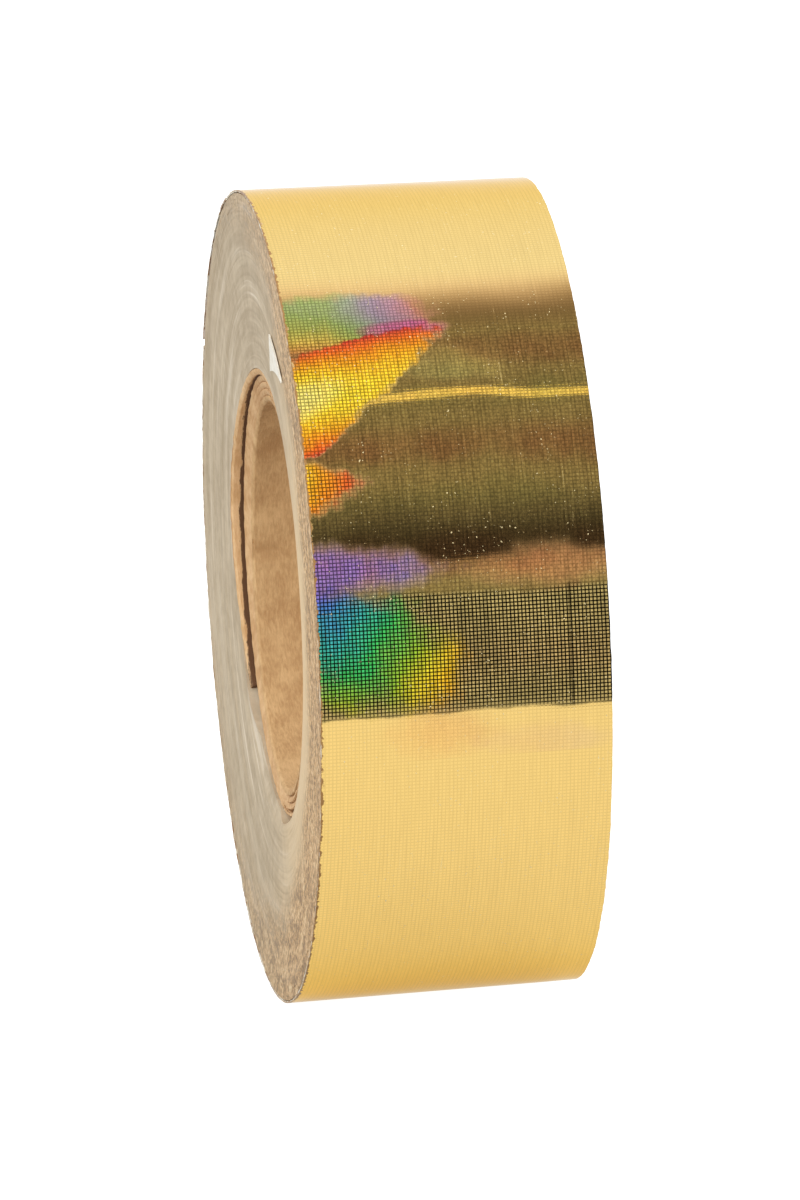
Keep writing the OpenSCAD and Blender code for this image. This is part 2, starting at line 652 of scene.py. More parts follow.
    def grid(self, weave: Weave, place: Place) -> Socket:
        """Gives 1 on the grid's cells and 0 on the lines between them."""
        pitch = 2 * math.pi * self.even_r / self.around
        rows = weave.times(place.angle, self.around / 360)
        parts = []
        for run in (weave.over(place.along, pitch), rows):
            cell = weave.math("FRACT", run)
            parts.append(weave.math("ABSOLUTE", weave.less(cell, 0.5)))
        edge = weave.math("SMOOTH_MAX", parts[0], parts[1], 0.10)
        return weave.step(0.45, 0.24, edge)

    def patch(
        self, weave: Weave, order: Order, sweep: Socket, across: Socket, ragged: Socket,
    ) -> tuple[Socket, Socket]:
        """Lays out one order of the rainbow.

        Args:
            weave: Builder of the nodes.
            order: The order.
            sweep: Angle within the period, in degrees.
            across: Share of the way across the strip.
            ragged: Noise about 0 that frays its edge.

        Returns:
            How strongly it shows, and its colour.
        """
        # Paints one rainbow patch, a painted reflection, with a painted highlight at its middle.
        centre = weave.line(across, order.skew, order.angle)
        run = weave.over(weave.less(sweep, centre), order.half_arc)
        middle = weave.line(run, order.lean, order.across)
        side = weave.over(weave.less(across, middle), order.half_width)
        away = weave.plus(*(weave.math("POWER", weave.math("ABSOLUTE", part), order.square)
                            for part in (run, side)))
        away = weave.line(ragged, 0.75 + 0.35 * order.square, away)
        shown = weave.times(weave.step(1.10, 1.10 - order.soft, away), order.strength)

        folded = weave.times(weave.times(run, run), order.fold)
        hue = weave.plus(weave.line(run, order.run, order.hue), folded)
        hue = weave.line(weave.most(side, 0.0), order.spread, hue)
        colour = weave.ramp(weave.line(ragged, 0.18, hue, clamp=True), self.spectrum)
        outer = weave.times(weave.step(0.45, 1.0, away), weave.step(0.2, 0.7, side))
        colour = weave.mix(weave.times(outer, order.fringe), colour, self.fringe)
        # Painted highlight at the patch's middle.
        heart = weave.line(side, side, weave.times(folded, -5.0))
        painted_highlight = weave.times(weave.step(0.42, 0.02, heart), order.glare)
        return shown, weave.mix(painted_highlight, colour, self.pale)

    def tints(self, weave: Weave, bent: Socket, stray: Socket, in_band: Socket,
              in_tint: Socket) -> Socket:
        """Tints the metal rosy and leafy by turns where it is embossed.

        Args:
            weave: Builder of the nodes.
            bent: Angle within the period, made a little uneven.
            stray: Noise about 0 that makes the turns uneven.
            in_band: 1 where the film is embossed most deeply.
            in_tint: 1 where it takes a tint.

        Returns:
            The metal's colour, with the reflections' painted tints.
        """
        # Paints the reflections' rosy and leafy tints into the metal's colour.
        swing = weave.math("SINE", weave.times(weave.less(bent, self.rosy_at),
                                               2 * math.pi / self.tint_arc))
        swing = weave.line(stray, 2.0, swing)
        warm = weave.times(weave.step(-0.2, 1.6, swing), in_band)
        warm = weave.most(warm, weave.times(weave.less(in_tint, in_band), 0.6))
        cool = weave.times(weave.step(-0.2, -1.6, swing), in_band)
        tone = weave.mix(weave.times(warm, 0.6), self.gold, self.rosy)
        return weave.mix(weave.times(cool, 0.5), tone, self.leafy)

    def dimming(self, weave: Weave, place: Place, across: Socket, dots: Socket, lines: Socket,
                open_grid: Socket, patterned: Socket) -> Socket:
        """Darkens the grid's lines and some of its cells, and paints shade along a crease.

        Args:
            weave: Builder of the nodes.
            place: Where the point lies.
            across: Share of the way across the strip.
            dots: 1 on the grid's cells.
            lines: How dark the lines are.
            open_grid: 1 where the cells scatter.
            patterned: 1 where the cells differ.

        Returns:
            What the colour is multiplied by.
        """
        fleck = weave.clouds(place, self.fleck)
        uneven = weave.between(patterned, 1.0, weave.line(weave.step(0.3, 0.7, fleck), 0.40, 0.84))
        # Painted shade of a crease, strongest where the cells scatter.
        crease = weave.math("ABSOLUTE", weave.less(across, self.crease_at))
        crease = weave.times(weave.step(0.009, 0.003, crease), weave.line(open_grid, 0.5, 0.02))
        dim = weave.less(1.0, weave.times(lines, weave.less(1.0, dots)))
        return weave.grey(weave.times(weave.times(dim, weave.less(1.0, crease)), uneven))

    def make(self, sizes: RollSizes) -> bpy.types.Material:
        """Builds the material.

        Args:
            sizes: Sizes of the roll.

        Returns:
            The material.
        """
        material, weave, shader = new_material("gold_holographic_film")
        place = place_on_roll(weave)
        dots = self.grid(weave, place)
        across = weave.over(weave.less(place.along, sizes.rim_y / MM), sizes.width / MM)
        drift, fray = weave.clouds(place, self.drift), weave.clouds(place, self.fray)
        stray = weave.less(drift, 0.5)
        ragged = weave.line(stray, 0.9, weave.times(weave.less(fray, 0.5), 0.5))
        sweep = weave.math("FLOORED_MODULO", place.angle, self.period)
        bent = weave.line(stray, 3.0, sweep)

        loud = weave.less(1.0, weave.within(place.angle, self.plain))
        in_band = weave.times(weave.within(sweep, self.patterned), loud)
        in_tint = weave.times(weave.within(sweep, self.tinted), loud)
        open_grid = weave.within(bent, self.open_grid)
        tone = self.tints(weave, bent, stray, in_band, in_tint)
        shade = weave.mix(weave.step(0.35, 0.65, drift), weave.grey(0.78), WHITE)
        dusky = weave.mix(1.0, weave.mix(0.8, tone, self.khaki), shade, "MULTIPLY")
        tone = weave.mix(open_grid, tone, dusky)

        shown: Number = 0.0
        lines = open_grid
        # Paints the rainbow patches, painted reflections, over the metal's colour.
        for order in self.orders:
            strength, colour = self.patch(weave, order, sweep, across, ragged)
            strength = weave.times(strength, loud)
            tone = weave.mix(strength, tone, colour)
            shown = weave.most(shown, strength)
            lines = weave.between(strength, lines, order.open_lines)
        lines = weave.line(lines, 0.66, weave.line(weave.times(in_band, drift), 0.36, 0.13))
        dim = self.dimming(weave, place, across, dots, lines, open_grid,
                           weave.most(in_band, shown))
        colour = weave.mix(1.0, tone, dim, "MULTIPLY")

        worn = weave.step(0.42, 0.60, weave.clouds(place, self.wear))
        thread = weave.noise(weave.rings(place, weave.times(place.along, 8.0), 8.0), 1.0, 3.0, 0.55)
        scratch = weave.times(weave.step(0.66, 0.74, thread), worn)
        grit = weave.times(weave.step(0.715, 0.75, weave.clouds(place, self.grit)),
                           weave.line(worn, 0.8, 0.2))
        flecks = weave.most(weave.times(scratch, 0.28), grit)
        colour = weave.mix(flecks, colour, self.flake)
        brushed = weave.times(weave.step(0.62, 0.36, thread), weave.line(in_band, 0.20, 0.05))
        colour = weave.mix(1.0, colour, weave.grey(weave.less(1.0, brushed)), "MULTIPLY")
        torn = weave.line(weave.less(weave.clouds(place, self.speckle), 0.5), -0.034, across)
        torn = weave.step(0.007, 0.003, torn)
        shreds = weave.mix(weave.step(0.60, 0.72, fray), self.dust, self.tatter)
        weave.feed(shader.inputs["Base Color"], weave.mix(torn, colour, shreds))

        matt = weave.times(weave.times(dots, open_grid), 0.85)
        matt = weave.most(matt, weave.times(shown, 0.93))
        matt = weave.most(weave.most(matt, flecks), torn)
        weave.feed(shader.inputs["Metallic"], weave.times(weave.less(1.0, matt), 0.97))
        polished = weave.between(dots, 0.07, 0.035)
        weave.feed(shader.inputs["Roughness"], weave.between(matt, polished, 0.40))
        ripple = weave.bump(weave.clouds(place, self.swell), 0.09 * MM)
        relief = weave.line(dots, 0.35, weave.times(thread, 0.45))
        weave.feed(shader.inputs["Normal"], weave.bump(relief, 0.0012 * MM, ripple))
        shader.inputs["Specular Tint"].default_value = (0.93, 0.76, 0.46, 1.0)
        shader.inputs["Specular IOR Level"].default_value = 0.15
        return material


@dataclass(frozen=True)
class SlitEdge:
    """Cut edges of the wound turns: pale film and paper, with brown dust from the slitting.

    Attributes:
        pale: Light tone of the edges.
        deep: Dark tone of the edges.
        bright: Rings of turns that stand proud.
        tan: Ground of the dust.
        speck: Its dark grains.
        cream: Its light grains, and the tone that the edges take towards +X.
        mottle: Noise of the edges' tones.
        patchy: Noise that makes the dust uneven.
        chips: Noise of the dust's grains.
        dust_reach: How far in from the rim the dust reaches, in millimetres.
        dust_east: How much further it reaches on the +X side, and less on the other.
        far_dust: Share of it on the end that isn't dished.
    """

    pale: Colour = srgb(203, 186, 158)
    deep: Colour = srgb(174, 156, 128)
    bright: Colour = srgb(228, 216, 196)
    tan: Colour = srgb(202, 160, 110)
    speck: Colour = srgb(112, 80, 48)
    cream: Colour = srgb(232, 204, 160)
    mottle: Grain = Grain(900.0, 5.0, 0.65)
    patchy: Grain = Grain(110.0, 3.0, 0.6)
    chips: Grain = Grain(2600.0, 4.0, 0.75)
    dust_reach: float = 4.2
    dust_east: float = 4.6
    far_dust: float = 0.35

    def edges(self, weave: Weave, place: Place, mottle: Socket, patchy: Socket) -> Socket:
        """Colours the clean edges of the turns.

        Args:
            weave: Builder of the nodes.
            place: Where the point lies.
            mottle: Noise of the tones.
            patchy: Noise about 0 that makes that creamier tone uneven.

        Returns:
            Their colour.
        """
        swirl = weave.noise(weave.rings(place, weave.times(place.radius, 0.9), 1.8), 0.9, 3.0, 0.6)
        tone = weave.blend(swirl, mottle, 0.55)
        colour = weave.mix(weave.step(0.34, 0.66, tone), self.deep, self.pale)
        ring_at = weave.point(weave.times(place.radius, 2.6), place.east, place.north)
        rings = weave.times(weave.step(0.50, 0.66, weave.noise(ring_at, 1.0, 3.0, 0.6)),
                            weave.step(0.45, 0.62, swirl))
        colour = weave.mix(weave.times(rings, 0.55), colour, self.bright)
        # The edges go creamier towards +X.
        creamier_to_east = weave.step(-0.1, 1.1, weave.line(patchy, 0.8, place.east))
        return weave.mix(weave.times(creamier_to_east, 0.8), colour, self.cream)

    def soiling(self, weave: Weave, place: Place, rim: float, patchy: Socket) -> Socket:
        """Gives how thickly the dust lies.

        Args:
            weave: Builder of the nodes.
            place: Where the point lies.
            rim: The rim's radius, in millimetres.
            patchy: Noise about 0 that makes it uneven.

        Returns:
            A socket from 0 to 1.
        """
        reach = weave.line(place.east, self.dust_east, self.dust_reach)
        reach = weave.line(patchy, 6.0, reach)
        soiled = weave.step(-2.2, 2.2, weave.less(reach, weave.less(rim, place.radius)))
        soiled = weave.times(soiled, weave.between(weave.step(-0.8, 0.9, place.east), 0.25, 0.86))
        return weave.times(soiled, weave.between(weave.step(-1.0, 1.0, place.along),
                                                 1.0, self.far_dust))

    def make(self, sizes: RollSizes) -> bpy.types.Material:
        """Builds the material.

        Args:
            sizes: Sizes of the roll.

        Returns:
            The material.
        """
        material, weave, shader = new_material("slit_film_edges")
        place = place_on_roll(weave)
        mottle = weave.clouds(place, self.mottle)
        patchy = weave.less(weave.clouds(place, self.patchy), 0.5)
        colour = self.edges(weave, place, mottle, patchy)
        soiled = self.soiling(weave, place, sizes.rim_r / MM, patchy)
        streaks = weave.noise(weave.rings(place, weave.times(place.radius, 1.3), 9.0),
                              1.0, 2.0, 0.5)
        specks = weave.blend(weave.clouds(place, self.chips), streaks, 0.72)
        brown = weave.mix(weave.step(0.52, 0.44, specks), self.tan, self.speck)
        brown = weave.mix(weave.step(0.53, 0.59, specks), brown, self.cream)
        colour = weave.mix(weave.times(soiled, 0.92), colour, brown)
        weave.feed(shader.inputs["Base Color"], colour)
        shader.inputs["Roughness"].default_value = 0.72
        height = weave.plus(weave.times(specks, soiled), mottle)
        weave.feed(shader.inputs["Normal"], weave.bump(height, 0.05 * MM))
        return material


@dataclass(frozen=True)
class Board:
    """Kraft paperboard of the core.

    Attributes:
        name: Name of the material.
        light: Its light fibres.
        dark: Its dark fibres.
        glue: Colour of the dark band on a ply's inner side: painted shade of the gap between plies,
            partly a darker paper edge.
        gap_shade_from: Place along the axis, in millimetres, from which a ply's inner side takes
            that dark band.
        cloud: Noise of the paper's tones.
    """

    name: str
    light: Colour
    dark: Colour
    # Dark band: painted shade of the gap between plies, partly a darker paper edge.
    glue: Colour = srgb(100, 68, 41)
    gap_shade_from: Optional[float] = None
    cloud: Grain = Grain(420.0, 4.0, 0.6)

    def make(self) -> bpy.types.Material:
        """Builds the material.

        Returns:
            The material.
        """
        material, weave, shader = new_material(self.name)
        place = place_on_roll(weave)
        fibre_at = weave.rings(place, weave.times(place.along, 5.0), 16.0)
        fibre = weave.noise(fibre_at, 1.6, 5.0, 0.65)
        tone = weave.blend(weave.clouds(place, self.cloud), fibre, 0.55)
        colour = weave.mix(weave.step(0.36, 0.66, tone), self.dark, self.light)
        # Dark band on the ply's inner side: painted shade of the gap between plies, partly a darker
        # paper edge.
        if self.gap_shade_from is not None:
            edge = weave.line(weave.less(tone, 0.5), 0.9, place.along)
            gap_shaded = weave.step(self.gap_shade_from - 0.05, self.gap_shade_from + 0.05, edge)
            colour = weave.mix(gap_shaded, colour, self.glue)
        weave.feed(shader.inputs["Base Color"], colour)
        shader.inputs["Roughness"].default_value = 0.85
        weave.feed(shader.inputs["Normal"], weave.bump(tone, 0.08 * MM))
        return material


@dataclass(frozen=True)
class PlainPaper:
    """White paper of the release liner, dusty where the strip was slit.

    Attributes:
        name: Name of the material.
        light: Its light tone.
        dark: Its dark tone.
        dust: Colour of the dust at its dished end.
        roughness: How rough it is.
        cloud: Noise of its tones.
    """

    name: str
    light: Colour
    dark: Colour
    dust: Colour = srgb(150, 112, 72)
    roughness: float = 0.6
    cloud: Grain = Grain(900.0, 4.0, 0.6)

    def make(self, sizes: RollSizes) -> bpy.types.Material:
        """Builds the material.

        Args:
            sizes: Sizes of the roll.

        Returns:
            The material.
        """
        material, weave, shader = new_material(self.name)
        place = place_on_roll(weave)
        cloud = weave.clouds(place, self.cloud)
        colour = weave.mix(weave.step(0.35, 0.68, cloud), self.dark, self.light)
        slit, rim = sizes.rim_y / MM, sizes.rim_r / MM
        rubbed = weave.times(weave.step(slit + 0.12, slit + 0.04, place.along),
                             weave.step(rim - 1.0, rim - 0.5, place.radius))
        dusty = weave.mix(weave.step(0.42, 0.56, cloud), self.dust, self.dark)
        colour = weave.mix(rubbed, colour, dusty)
        weave.feed(shader.inputs["Base Color"], colour)
        shader.inputs["Roughness"].default_value = self.roughness
        weave.feed(shader.inputs["Normal"], weave.bump(cloud, 0.01 * MM))
        return material


# ---------------------------------------------------------------- sub-assemblies


@dataclass
class Ply:
    """One ply of the core.

    Attributes:
        number: Place from the bore outwards, from 1.
        shift: Mean move along the axis from where the frame has it, in millimetres.
        tilt: How much further in it lies on the far side than on the near side, over 2.
        seam: Angle of its butt seam, in degrees.
        arc: Arc that it covers, in degrees.
    """

    number: int
    shift: float
    tilt: float
    seam: float
    arc: float


@dataclass
class Core:
    """The paperboard core: five plies, the outermost one loose on the far side.

    Attributes:
        sizes: Sizes of the roll.
        steps: Number of steps round the core.
        gap: Half the gap between two plies.
        frill: How ragged the cut ends are.
        peel: How far the outermost ply has come away from the next.
        proud: How far it stands out where it is loose.
        gap_shade_strip: How far past the core's end the loose ply's dark band begins, in
            millimetres: painted shade of the gap, partly a darker paper edge.
        plies: The plies, from the bore outwards.
    """

    sizes: RollSizes
    steps: int = 240
    gap: float = 0.012 * MM
    frill: float = 0.045 * MM
    peel: float = 0.22 * MM
    proud: float = 0.38 * MM
    gap_shade_strip: float = 0.30
    plies: tuple[Ply, ...] = (
        Ply(1, 0.0, 0.165, 96.3, 359.0),
        Ply(2, -0.07, 0.145, 318.3, 359.0),
        Ply(3, -0.14, 0.12, 24.3, 359.0),
        Ply(4, -0.21, 0.09, 280.3, 359.0),
        Ply(5, -0.46, -0.11, -68.0, 296.5),
    )

    def profile(self, ply: Ply) -> Profile:
        """Gives a ply's section, with soft cut edges."""
        low = self.sizes.bore_r + (ply.number - 1) * self.sizes.ply_t + self.gap
        high = low + self.sizes.ply_t - 2 * self.gap
        half = self.sizes.width / 2
        shift = ply.shift * MM
        soft = 0.10 * MM
        corners: Profile = []
        for side in (-1, 1):
            end = side * half + shift
            slope = 0.10 * MM if side < 0 else 0
            lip = [(low, end - side * soft + slope),
                   (low + soft * 0.5, end - side * soft * 0.3 + slope),
                   ((low + high) / 2, end + slope / 2),
                   (high - soft * 0.5, end - side * soft * 0.3),
                   (high, end - side * soft)]
            corners += lip if side < 0 else lip[::-1]
        inner = [(low, y * half + shift) for y in (0.75, 0.45, 0.0, -0.45, -0.75)]
        return corners + inner

    def shaper(self, ply: Ply) -> Shaper:
        """Gives the small moves that make a ply look like torn and cut paper."""
        low = self.sizes.bore_r + (ply.number - 1) * self.sizes.ply_t
        middle = low + self.sizes.ply_t / 2
        half = self.sizes.width / 2

        def shape(radius: float, angle: float, along: float) -> tuple[float, float]:
            """Gives the outward and axial move of a point."""
            east, north = math.cos(angle) * 9, math.sin(angle) * 9
            shift = -ply.tilt * MM * math.cos(angle)
            shift -= ply.shift * MM * max(0.0, -math.sin(angle))
            shift -= 0.05 * MM * max(0.0, math.cos(angle))
            end = smooth_step(half - 1.2 * MM, half - 0.4 * MM, abs(along))
            shift += end * self.frill * wobble(east * 3, north * 3, ply.number * 5.0)
            shift += end * 0.5 * self.frill * wobble(east * 9, north * 9, ply.number * 3.0)
            out = 0.0
            if ply.number == PLY_COUNT and along < 0:
                shift -= self.proud * arc_bump(angle, 185, 80)
            if radius < middle:
                if ply.number == PLY_COUNT:
                    out += self.peel * arc_bump(angle, 180, 62)
                elif ply.number == PLY_COUNT - 1:
                    out += 0.2 * MM * arc_bump(angle, -71, 31)
                elif ply.number == 1:
                    out += self.bore_wave(angle, along)
            return out, shift

        return shape

    def bore_wave(self, angle: float, along: float) -> float:
        """Gives the wrinkles of the bore's paper, always outwards."""
        degrees = math.degrees(angle) % 360
        lip = smooth_step(-5.2 * MM, -9.0 * MM, along)
        fold = 0.0
        for centre, lean, depth in ((190.5, 0.9, 0.24), (186.5, -0.5, 0.13), (194.5, 1.7, 0.16)):
            line = centre + lean * (along / MM + 8.0)
            fold += depth * math.exp(-((degrees - line) / 0.9) ** 2)
        soft = 0.5 + 0.5 * wobble(math.cos(angle) * 4, math.sin(angle) * 4, along / (5 * MM))
        return (0.05 * soft + fold * (0.35 + 0.65 * lip)) * MM

    def build(self) -> list[bpy.types.Object]:
        """Builds the five plies.

        Returns:
            The plies, from the bore outwards.
        """
        tan = Board("kraft_ply_light", srgb(226, 189, 141), srgb(196, 152, 104)).make()
        bore = Board("kraft_bore", srgb(218, 181, 130), srgb(184, 143, 95)).make()
        # The loose ply's dark band is painted shade of the gap between plies, partly a darker paper
        # edge.
        gap_shade_from = -self.sizes.width / 2 / MM - self.gap_shade_strip
        # The loose ply's kraft is paler than the other plies': partly a paler paper, partly painted
        # light on its shaded inner wall.
        loose = Board("kraft_loose_ply_painted_light_and_shade", srgb(236, 200, 152), srgb(206, 164, 114),
                      gap_shade_from=gap_shade_from).make()
        pieces = []
        for ply in self.plies:
            mesh = spun(self.profile(ply), math.radians(ply.seam), math.radians(ply.arc),
                        self.steps)
            reshape(mesh, self.shaper(ply))
            finish = {1: bore, PLY_COUNT: loose}.get(ply.number, tan)
            pieces.append(finish_piece(
                mesh, f"ply_{ply.number}", "roll", finish,
                [f"core_ply_{ply.number}"]))
        return pieces


@dataclass
class WoundTurns:
    """All the turns of the strip under the outermost one.

    Attributes:
        sizes: Sizes of the roll.
        film: Finish of the side that shows under the lifted lead end.
        steps: Number of steps round the roll.
        turns: Number of ledges, one for a few turns of the strip.
        step_noise: How unevenly the turns stand, in metres.
        skin_depth: How far below the outermost turn a face still counts as outside.
    """

    sizes: RollSizes
    film: bpy.types.Material
    steps: int = 240
    turns: int = 84
    step_noise: float = 0.014 * MM
    skin_depth: float = 0.05 * MM

    def profile(self) -> Profile:
        """Gives the section: one small ledge for each turn at both ends."""
        inner, outer = self.sizes.core_r, self.sizes.rim_r - self.sizes.strip_t
        thick = (outer - inner) / self.turns
        groove = 0.22 * thick
        low: Profile = []
        high: Profile = []
        for turn in range(self.turns):
            jitter = self.step_noise * wobble(turn * 0.9, 3.0, 1.0)
            jitter += 0.6 * self.step_noise * wobble(turn * 0.17, 8.0, 2.0)
            for radius in (inner + turn * thick + groove / 2,
                           inner + (turn + 1) * thick - groove / 2):
                start = self.sizes.face_y(radius) + jitter
                low.append((radius, start))
                share = (radius - inner) / (outer - inner)
                high.append((radius - TAPER * share, start + self.sizes.width))
        low[0] = (inner, low[0][1])
        high[0] = (inner, high[0][1])
        return low + high[::-1]

    def shaper(self) -> Shaper:
        """Gives the small moves that make the turns uneven round the roll."""
        sizes = self.sizes
        thick = (sizes.rim_r - sizes.strip_t - sizes.core_r) / self.turns

        def shape(radius: float, angle: float, along: float) -> tuple[float, float]:
            """Gives the outward and axial move of a point."""
            turn = math.floor((radius - sizes.core_r) / thick + 0.01)
            east, north = math.cos(angle), math.sin(angle)
            share = (sizes.rim_r - radius) / (sizes.rim_r - sizes.core_r)
            lift = 0.07 if east > 0 else -0.1
            shift = -lift * MM * east * share
            shift += 0.030 * MM * wobble(east * 1.7, north * 1.7, turn * 0.12)
            shift += 0.012 * MM * wobble(east * 7, north * 7, turn * 0.5)
            rough = smooth_step(sizes.rim_r - 2.5 * MM, sizes.rim_r - 0.3 * MM, radius)
            shift += 0.05 * MM * rough * wobble(east * 45, north * 45, turn * 1.3)
            out = 0.0
            soft_r = sizes.core_r + 1.2 * MM
            if radius < soft_r:
                sag = arc_bump(angle, -98, 33)
                sunk = min(1.0, 2.2 * sag) * smooth_step(soft_r, sizes.core_r, radius)
                out -= 0.44 * MM * sunk
                shift += 0.34 * MM * sunk
            return out, shift

        return shape

    def build(self) -> bpy.types.Object:
        """Builds the wound turns.

        Returns:
            The piece.
        """
        mesh = spun(self.profile(), 0.0, 2 * math.pi, self.steps)
        reshape(mesh, self.shaper())
        skin = self.sizes.rim_r - self.sizes.strip_t - TAPER - self.skin_depth
        mesh.normal_update()
        for face in mesh.faces:
            outside = min(polar(vert.co)[0] for vert in face.verts) > skin
            face.material_index = int(outside and abs(face.normal.y) < 0.3)
        piece = finish_piece(mesh, "wound_turns", "roll",
                             SlitEdge().make(self.sizes), ["wound_strip"], 30.0)
        piece.data.materials.append(self.film)
        return piece


class Layer(Enum):
    """The strip's three layers, from the face inwards."""

    FILM = "film"
    GLUE = "adhesive"
    LINER = "liner"


@dataclass
class StripEnd:
    """The strip's outermost turn and its free lead end, layer by layer."""

    sizes: RollSizes
    film: bpy.types.Material
    glue: bpy.types.Material
    liner: bpy.types.Material
    across: int = 26
    turn_steps: int = 520
    lead_steps: int = 60
    seam_arc: float = math.radians(0.4)
    lead_gap: float = 0.05 * MM
    peel_gap: float = 0.02 * MM

    def depths(self, layer: Layer) -> tuple[float, float]:
        """Gives a layer's top and bottom below the face of the strip."""
        film, glue = self.sizes.film_t, self.sizes.glue_t
        if layer is Layer.FILM:
            return 0.0, film
        if layer is Layer.GLUE:
            return film, film + glue
        return film + glue, self.sizes.strip_t

    def profile(self, layer: Layer, raised: float) -> Profile:
        """Gives a layer's section, closely divided on its outer side."""
        top, bottom = self.depths(layer)
        start, width = self.sizes.rim_y, self.sizes.width
        count = self.across if layer is Layer.FILM else 2

        def radius(share: float) -> float:
            """Gives the face's radius at a place across the strip."""
            return self.sizes.rim_r + raised - TAPER * share

        outer = [(radius(i / count) - top, start + width * i / count)
                 for i in range(count + 1)]
        inner = [(radius(1.0) - bottom, start + width), (radius(0.0) - bottom, start)]
        return outer + inner

    def shaper(self) -> Shaper:
        """Gives the waves of the film and the ragged slit at its edges."""
        start, width = self.sizes.rim_y, self.sizes.width

        def shape(radius: float, angle: float, along: float) -> tuple[float, float]:
            """Gives the outward and axial move of a point."""
            shift = 0.0
            if along < start + 0.2 * MM or along > start + width - 0.2 * MM:
                east, north = math.cos(angle), math.sin(angle)
                shift = 0.035 * MM * wobble(east * 60, north * 60, radius * 9000)
                shift += 0.03 * MM * wobble(east * 14, north * 14, radius * 9000)
            return film_wave(angle, along), shift

        return shape

    def turn(self, layer: Layer, material: bpy.types.Material, slot: str) -> bpy.types.Object:
        """Builds one layer of the outermost turn.

        Args:
            layer: Which layer.
            material: Its finish.
            slot: Not used.

        Returns:
            The piece.
        """
        start = self.sizes.lead_root + self.sizes.lead_arc - 2 * math.pi + self.seam_arc
        arc = 2 * math.pi - self.sizes.lead_arc - 2 * self.seam_arc
        mesh = spun(self.profile(layer, 0.0), start, arc, self.turn_steps)
        reshape(mesh, self.shaper())
        return finish_piece(mesh, f"turn_{layer.value}", "roll", material,
                            [f"outer_{layer.value}"])

    def lead(
        self, layer: Layer, material: bpy.types.Material, slot: str, body: str,
    ) -> bpy.types.Object:
        """Builds one layer of the free lead end, a little open.

        Args:
            layer: Which layer.
            material: Its finish.
            slot: Not used.
            body: Body that it rides on.

        Returns:
            The piece.
        """
        raised = self.lead_gap + (0.0 if layer is Layer.LINER else self.peel_gap)
        mesh = spun(self.profile(layer, raised), self.sizes.lead_root, self.sizes.lead_arc,
                    self.lead_steps)
        reshape(mesh, self.shaper())
        hinge = self.sizes.hinge
        swing = (Matrix.Translation(hinge)
                 @ Matrix.Rotation(math.radians(LEAD_REST_DEG), 4, "Y")
                 @ Matrix.Translation(-hinge))
        bmesh.ops.transform(mesh, matrix=swing, verts=mesh.verts)
        return finish_piece(mesh, f"lead_end_{layer.value}", body, material,
                            [f"lead_{layer.value}"])

    def build(self) -> list[bpy.types.Object]:
        """Builds the outermost turn and the lead end.

        Returns:
            The six pieces.
        """
        layers = ((Layer.FILM, self.film, "gold_film", "lead_face"),
                  (Layer.GLUE, self.glue, "adhesive", "lead_face"),
                  (Layer.LINER, self.liner, "white_paper", "lead_backing"))
        turns = [self.turn(layer, finish, slot) for layer, finish, slot, _ in layers]
        return turns + [self.lead(*layer) for layer in layers]


@dataclass
class Leader:
    """The bit of white paper at the strip's start, against the dished end.

    Attributes:
        sizes: Sizes of the roll.
        paper: Its finish.
        inset: How far outside the core it begins.
        width: How wide it is.
        first: Angle where it begins, in degrees.
        arc: Arc that it covers, in degrees.
    """

    sizes: RollSizes
    paper: bpy.types.Material
    inset: float = 2.2 * MM
    width: float = 2.8 * MM
    first: float = 67.0
    arc: float = 16.0

    def build(self) -> bpy.types.Object:
        """Builds the leader.

        Returns:
            The piece.
        """
        low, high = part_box("start_leader")
        inner = self.sizes.core_r + self.inset
        thick = high.y - low.y
        count = 8
        front = [(inner + self.width * i / count, -thick) for i in range(count + 1)]
        back = [(inner + self.width * i / count, 0.0) for i in range(count, -1, -1)]
        first, arc = math.radians(self.first), math.radians(self.arc)
        mesh = spun(front + back, first, arc, 30)

        def shape(radius: float, angle: float, along: float) -> tuple[float, float]:
            """Tears the paper to a point and lays it, a little crumpled, on the end face."""
            share = (radius - inner) / self.width
            torn = max(0.0, 1 - (angle - first) / arc)
            out = ((1 - share) * 0.95 * self.width + self.width * 0.2) * torn
            lift = 0.5 + 0.5 * wobble(radius * 900, angle * 9, 4.0)
            return out, self.sizes.face_y(radius + out) - (0.07 + 0.05 * lift) * MM

        reshape(mesh, shape)
        return finish_piece(mesh, "white_leader", "roll", self.paper,
                            ["start_leader"])


# ---------------------------------------------------------------- studio


@dataclass(frozen=True)
class Panel:
    """A long panel beside the roll, which the film mirrors as a band.

    Attributes:
        span: Angle that it covers, in degrees from the front over the top.
        glow: How bright it is.
        warmth: How yellow its light is, from 0 to 1.
    """

    span: Stretch
    glow: float
    warmth: float


